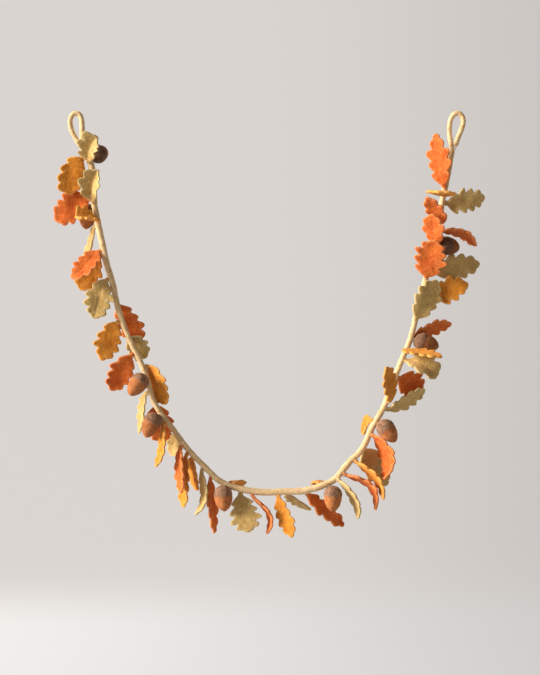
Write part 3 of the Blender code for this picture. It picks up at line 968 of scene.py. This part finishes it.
def makeAcorn(name, row, seed):
    along, around, right, near, up = row
    middle, outwards = seat(along * mm, around)
    heart = middle + outwards * (cord["diameter"] / 2 + leaf["seatGap"] + acorn["capRadius"])
    turn = Vector((0.0, 0.0, -1.0)).rotation_difference(Vector((right, -near, up)).normalized())
    shell = bmesh.new()
    rings, capShares = [], []
    sides = acorn["sides"]
    for radius, height, capShare in acornProfile():
        ring = []
        for i in range(sides):
            angle = 2 * math.pi * i / sides
            spot = Vector((radius * math.cos(angle), radius * math.sin(angle), height))
            ring.append(shell.verts.new(heart + turn @ spot))
            capShares.append(capShare)
        rings.append(ring)
    skinRings(shell, rings)
    for ring in (rings[0], rings[-1]):
        hub = shell.verts.new(sum((vertex.co for vertex in ring), Vector()) / sides)
        capShares.append(1.0 if ring is rings[0] else 0.0)
        for i in range(sides):
            shell.faces.new((ring[i], ring[(i + 1) % sides], hub))
    bmesh.ops.recalc_face_normals(shell, faces=shell.faces)
    mesh = meshFrom(shell, name)
    mask = mesh.attributes.new("cap", "FLOAT", "POINT")
    # painted shade factor, the same all over each acorn
    tone = mesh.attributes.new("tone", "FLOAT", "POINT")
    for i, share in enumerate(capShares):
        mask.data[i].value = share
        tone.data[i].value = acorn["tones"][seed - 1]
    away = Vector((seed * 5.1, seed * 2.3, seed * 9.7))
    normals = [vertex.normal.copy() for vertex in mesh.vertices]
    for vertex, normal, share in zip(mesh.vertices, normals, capShares):
        lump = noise.noise(vertex.co * acorn["lumpScale"] + away)
        slow = noise.noise(vertex.co * acorn["slowScale"] + away)
        depth = acorn["nutLump"] + (acorn["capLump"] - acorn["nutLump"]) * share
        vertex.co = vertex.co + normal * (lump * depth + slow * acorn["slowLump"])
    mesh.materials.append(materials["acorn"])
    mesh.shade_smooth()
    item = linkObject(name, mesh)
    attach(item, "root")
    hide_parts(name.replace("_felt", ""))
    return item


acorns = [(row, makeAcorn(f"acorn_{number}_felt", row, number)) for number, row in enumerate(acornRows, 1)]
print("acorns made")

# lengths of the stitches' places are in millimetres, from the cord's middle outwards and to the side
thread = {
    "radius": 0.00024,
    "sides": 6,
    "ring": 0.0005,
    "sink": 0.0009,
    "lift": 0.00022,
    "bulge": 0.0003,
    "leafStitches": (-1.5, 1.4),
    "leafSlant": 0.5,
    "leafOnCord": (4.0, 3.2),
    "leafOnStem": (7.8, 3.0),
    "acornStitches": 6,
    "acornTouch": 4.4,
    "acornOnCord": (-1.0, 2.6),
    "acornOnCap": (1.2, 3.4),
    "loopStitches": 5,
    "loopSpacing": 1.3,
    "loopFan": 1.6,
    "loopReach": 0.3,
}


def buildThreadTree():
    # round thread along every line of the mesh that it is given
    tree, given, result = nodeGroup(
        "sewnThread", "GeometryNodeTree",
        (("Geometry", "Geometry"), ("Radius", "Float", 0.0003, 0.0, 1.0), ("Sides", "Int", 6, 3, 64),
         ("Material", "Material")),
    )
    lines = newNode(tree, "GeometryNodeMeshToCurve", (-1000, 100))
    tree.links.new(given.outputs["Geometry"], lines.inputs["Mesh"])
    finishShape(tree, given, result, tubeAlong(tree, given, lines.outputs["Curve"]).outputs["Mesh"])
    return tree


def surfaceOf(item):
    mesh = item.data
    return BVHTree.FromPolygons([vertex.co for vertex in mesh.vertices],
                                [face.vertices[:] for face in mesh.polygons])


def stitchLine(lines, here, there):
    # one stitch, from inside one felt over to inside the other
    (a, outOfA), (b, outOfB) = here[:2], there[:2]
    over = ((a + b) / 2) + (outOfA + outOfB).normalized() * (thread["lift"] + thread["bulge"])
    stops = [a - outOfA * thread["sink"], a + outOfA * thread["lift"], over,
             b + outOfB * thread["lift"], b - outOfB * thread["sink"]]
    spots = [lines.verts.new(spot) for spot in catmullRom(stops, thread["ring"], perSpan=6)]
    for one, following in zip(spots, spots[1:]):
        lines.edges.new((one, following))


def stitchPlaces():
    # each stitch's two ends, first on the one surface and then on the other
    cordSurface = surfaceOf(ropes[0])
    for row, item in leaves:
        surface = surfaceOf(item)
        middle, outwards = seat(row["along"] * mm, row["around"])
        sideways = leafFrames(row, [0.0, 0.05, 0.1])[2][0]
        face = sideways.cross(outwards).normalized()
        (outLow, sideLow), (outHigh, sideHigh) = thread["leafOnCord"], thread["leafOnStem"]
        for side in (1, -1):
            for place in thread["leafStitches"]:
                slanted = place - thread["leafSlant"]
                low = middle + outwards * outLow * mm + face * side * sideLow * mm + sideways * slanted * mm
                high = middle + outwards * outHigh * mm + face * side * sideHigh * mm + sideways * place * mm
                yield cordSurface.find_nearest(low), surface.find_nearest(high)
    for (along, around, *_), item in acorns:
        surface = surfaceOf(item)
        middle, outwards = seat(along * mm, around)
        touch = middle + outwards * thread["acornTouch"] * mm
        first = outwards.orthogonal().normalized()
        second = outwards.cross(first)
        (outLow, sideLow), (outHigh, sideHigh) = thread["acornOnCord"], thread["acornOnCap"]
        for i in range(thread["acornStitches"]):
            angle = 2 * math.pi * i / thread["acornStitches"]
            away = first * math.cos(angle) + second * math.sin(angle)
            low = touch + away * sideLow * mm + outwards * outLow * mm
            high = touch + away * sideHigh * mm + outwards * outHigh * mm
            yield cordSurface.find_nearest(low), surface.find_nearest(high)
    for item, route in zip(ropes[1:], loops["routes"].values()):
        surface = surfaceOf(item)
        right, near, up = route[-1]
        tail = Vector((right, -near, up))
        foot = cordSurface.find_nearest(tail)[0]
        across = (foot - tail).cross(Vector((0.0, 0.0, 1.0))).normalized()
        for i in range(thread["loopStitches"]):
            shift = across * (i - (thread["loopStitches"] - 1) / 2) * thread["loopSpacing"] * mm
            start = tail.lerp(foot, thread["loopReach"]) + shift * thread["loopFan"]
            yield surface.find_nearest(start), cordSurface.find_nearest(foot + shift)


def makeStitches():
    lines = bmesh.new()
    for here, there in stitchPlaces():
        stitchLine(lines, here, there)
    sewn = grow(linkObject("stitchLines", meshFrom(lines, "stitchLines")), buildThreadTree(), "stitches",
                radius=thread["radius"], sides=thread["sides"], material=materials["thread"])
    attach(sewn, "root")


makeStitches()
print("stitches made")

wool = {
    "radius": 0.00004,
    "length": 0.0019,
    "bend": {"Start": (0.0, 0.0, -0.12), "Middle": (0.15, 0.1, 0.75), "End": (0.85, 0.3, 0.42)},
    "tilt": 0.7,
    "sizes": (0.5, 1.35),
    "looks": {"acorn": "nutWool"},
    "perSquareMetre": {
        "cord": 120000.0, "olive": 55000.0, "mustard": 55000.0, "rust": 55000.0, "acorn": 90000.0,
    },
}


def buildWoolTree():
    # short curved hairs, scattered over the felt and bent every way
    tree, given, result = nodeGroup(
        "strayWool", "GeometryNodeTree",
        (("Geometry", "Geometry"), ("Density", "Float", 50000.0, 0.0, 1.0e7),
         ("Length", "Float", 0.002, 0.0, 1.0), ("Radius", "Float", 0.00004, 0.0, 1.0),
         ("Seed", "Int", 1, 0, 10000), ("Material", "Material")),
    )
    link = tree.links.new
    spots = newNode(tree, "GeometryNodeDistributePointsOnFaces", (-900, 200))
    for name, socket in (("Geometry", "Mesh"), ("Density", "Density"), ("Seed", "Seed")):
        link(given.outputs[name], spots.inputs[socket])
    bend = newNode(tree, "GeometryNodeCurveQuadraticBezier", (-900, -200), {"Resolution": 3, **wool["bend"]})
    sized = newNode(tree, "GeometryNodeTransform", (-650, -200))
    link(bend.outputs["Curve"], sized.inputs["Geometry"])
    link(given.outputs["Length"], sized.inputs["Scale"])
    circle = newNode(tree, "GeometryNodeCurvePrimitiveCircle", (-650, -500), {"Resolution": 3})
    link(given.outputs["Radius"], circle.inputs["Radius"])
    hair = newNode(tree, "GeometryNodeCurveToMesh", (-400, -300))
    link(sized.outputs["Geometry"], hair.inputs["Curve"])
    link(circle.outputs["Curve"], hair.inputs["Profile Curve"])
    tilt, (least, most) = wool["tilt"], wool["sizes"]
    turn = newNode(tree, "FunctionNodeRandomValue", (-650, 500),
                   {0: (-tilt, -tilt, 0.0), 1: (tilt, tilt, 2 * math.pi)}, data_type="FLOAT_VECTOR")
    link(given.outputs["Seed"], turn.inputs["Seed"])
    turned = newNode(tree, "FunctionNodeRotateRotation", (-400, 400), rotation_space="LOCAL")
    link(spots.outputs["Rotation"], turned.inputs["Rotation"])
    link(turn.outputs[0], turned.inputs["Rotate By"])
    size = newNode(tree, "FunctionNodeRandomValue", (-400, 700), {2: least, 3: most}, data_type="FLOAT")
    link(given.outputs["Seed"], size.inputs["Seed"])
    placed = newNode(tree, "GeometryNodeInstanceOnPoints", (0, 100))
    link(spots.outputs["Points"], placed.inputs["Points"])
    link(hair.outputs["Mesh"], placed.inputs["Instance"])
    link(turned.outputs["Rotation"], placed.inputs["Rotation"])
    link(size.outputs[1], placed.inputs["Scale"])
    finishShape(tree, given, result, placed.outputs["Instances"])
    return tree


def makeWool():
    tree = buildWoolTree()
    coats = {"cord": ropes, "acorn": [item for row, item in acorns]}
    for look in ("olive", "mustard", "rust"):
        coats[look] = [item for row, item in leaves if row["felt"] == look]
    for seed, (look, items) in enumerate(coats.items(), 1):
        whole = bmesh.new()
        for item in items:
            whole.from_mesh(item.data)
        hairs = grow(
            linkObject("woolGround", meshFrom(whole, "woolGround")), tree, f"wool_{look}",
            density=wool["perSquareMetre"][look], length=wool["length"], radius=wool["radius"], seed=seed,
            material=materials[wool["looks"].get(look, look)],
        )
        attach(hairs, "root")


makeWool()
print("stray wool made")
print("triangles", sum(len(face.vertices) - 2 for item in bpy.context.scene.objects if item.type == "MESH"
                       and item.visible_get() for face in item.data.polygons))
